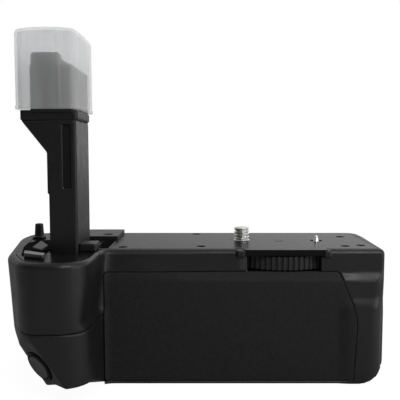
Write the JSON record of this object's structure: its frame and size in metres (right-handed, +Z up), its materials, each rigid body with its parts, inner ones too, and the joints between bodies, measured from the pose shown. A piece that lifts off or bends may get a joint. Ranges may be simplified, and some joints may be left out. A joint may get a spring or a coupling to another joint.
{
  "type": "camera battery grip",
  "caption": "Camera battery grip with a handle bulge, geared attachment screw, battery bay stem with a cap, sliding battery magazine and second set of shooting controls.",
  "frame": {"origin": "axis of the attachment screw on the deck plane", "axes": "+Z up out of the deck along the screw, -Y towards the grip's front, +X towards the magazine end"},
  "size_m": [0.1461, 0.079, 0.1296],
  "materials": {
    "body_black": "fine moulded grain",
    "deck_black": "satin",
    "leatherette": "pebbled grain",
    "wheel_rubber": "ribbed",
    "button_grey": "satin",
    "cap_clear": "frosted translucent",
    "steel": "turned",
    "brass": "plated",
    "inner_grey": "moulded",
    "board_green": "solder resist",
    "flex_amber": "polyimide film"
  },
  "bodies": {
    "grip": {"front_shell": "body_black", "rear_cover": "body_black", "handle_pod": "body_black", "deck_plate": "deck_black", "front_skin": "leatherette", "thumb_pad": "leatherette", "stem_column": "body_black", "stem_inlay": "leatherette", "contact_block": "body_black", "stem_contacts": "brass", "stem_cable": "flex_amber", "stem_screws": "steel", "door_cradle": "body_black", "door_hook": "body_black", "door_post": "body_black", "locating_pin": "steel", "screw_bush": "brass", "wheel_axle": "steel", "wheel_clip": "steel", "deck_screws": "steel", "chassis": "inner_grey", "bay_terminals": "brass", "main_board": "board_green", "board_parts": "inner_grey", "board_screws": "steel", "shutter_bezel": "deck_black", "shutter_switch": "inner_grey", "dial_bracket": "inner_grey", "dial_axle": "steel", "switch_board": "board_green", "rear_switches": "inner_grey", "rear_screws": "steel", "bottom_screws": "steel", "tripod_plate": "steel", "tripod_socket": "steel"},
    "wheel": {"thumbwheel": "wheel_rubber"},
    "screw": {"mount_screw": "steel", "screw_pinion": "brass"},
    "shutter": {"shutter_button": "button_grey"},
    "dial": {"main_dial": "wheel_rubber"},
    "button_outer": {"rear_button_outer": "button_grey"},
    "button_mid": {"rear_button_mid": "button_grey"},
    "button_inner": {"rear_button_inner": "button_grey"},
    "power": {"power_knob": "button_grey", "power_shaft": "steel"},
    "magazine": {"magazine_tray": "inner_grey", "magazine_cover": "body_black", "tray_contacts": "brass"},
    "lock": {"lock_key": "button_grey", "lock_tongue": "steel"},
    "cap": {"contact_cap": "cap_clear"}
  },
  "joints": [
    {"name": "wheel_spin", "type": "hinge", "parent": "grip", "child": "wheel", "pos_m": [0.01487, -0.004, -0.0053], "axis": [0, 0, 1], "continuous": true},
    {"name": "screw_spin", "type": "hinge", "parent": "grip", "child": "screw", "pos_m": [0, 0, 0], "axis": [0, 0, 1], "continuous": true},
    {"name": "shutter_press", "type": "slide", "parent": "grip", "child": "shutter", "axis": [0.5921, 0.6931, 0.4111], "range_m": [0, 0.0015], "stiffness_N_per_m": 400},
    {"name": "dial_spin", "type": "hinge", "parent": "grip", "child": "dial", "pos_m": [-0.07327, -0.02985, -0.03719], "axis": [0.2981, -0.9545, 0], "continuous": true},
    {"name": "power_turn", "type": "hinge", "parent": "grip", "child": "power", "pos_m": [-0.048, 0.022, -0.0113], "axis": [0, 1, 0], "range_deg": [0, 40]},
    {"name": "magazine_slide", "type": "slide", "parent": "grip", "child": "magazine", "axis": [1, 0, 0], "range_m": [0, 0.122]},
    {"name": "lock_turn", "type": "hinge", "parent": "magazine", "child": "lock", "pos_m": [0.05, -0.00275, -0.03195], "axis": [1, 0, 0], "range_deg": [0, 90]},
    {"name": "cap_lift", "type": "slide", "parent": "grip", "child": "cap", "axis": [0, 0, 1], "range_m": [0, 0.045]},
    {"name": "button_outer_press", "type": "slide", "parent": "grip", "child": "button_outer", "axis": [0, -1, 0], "range_m": [0, 0.0007], "stiffness_N_per_m": 600},
    {"name": "button_mid_press", "type": "slide", "parent": "grip", "child": "button_mid", "axis": [0, -1, 0], "range_m": [0, 0.0007], "stiffness_N_per_m": 600},
    {"name": "button_inner_press", "type": "slide", "parent": "grip", "child": "button_inner", "axis": [0, -1, 0], "range_m": [0, 0.0007], "stiffness_N_per_m": 600}
  ],
  "couplings": [
    {"joint": "screw_spin", "follows": "wheel_spin", "ratio": 4.6667}
  ]
}
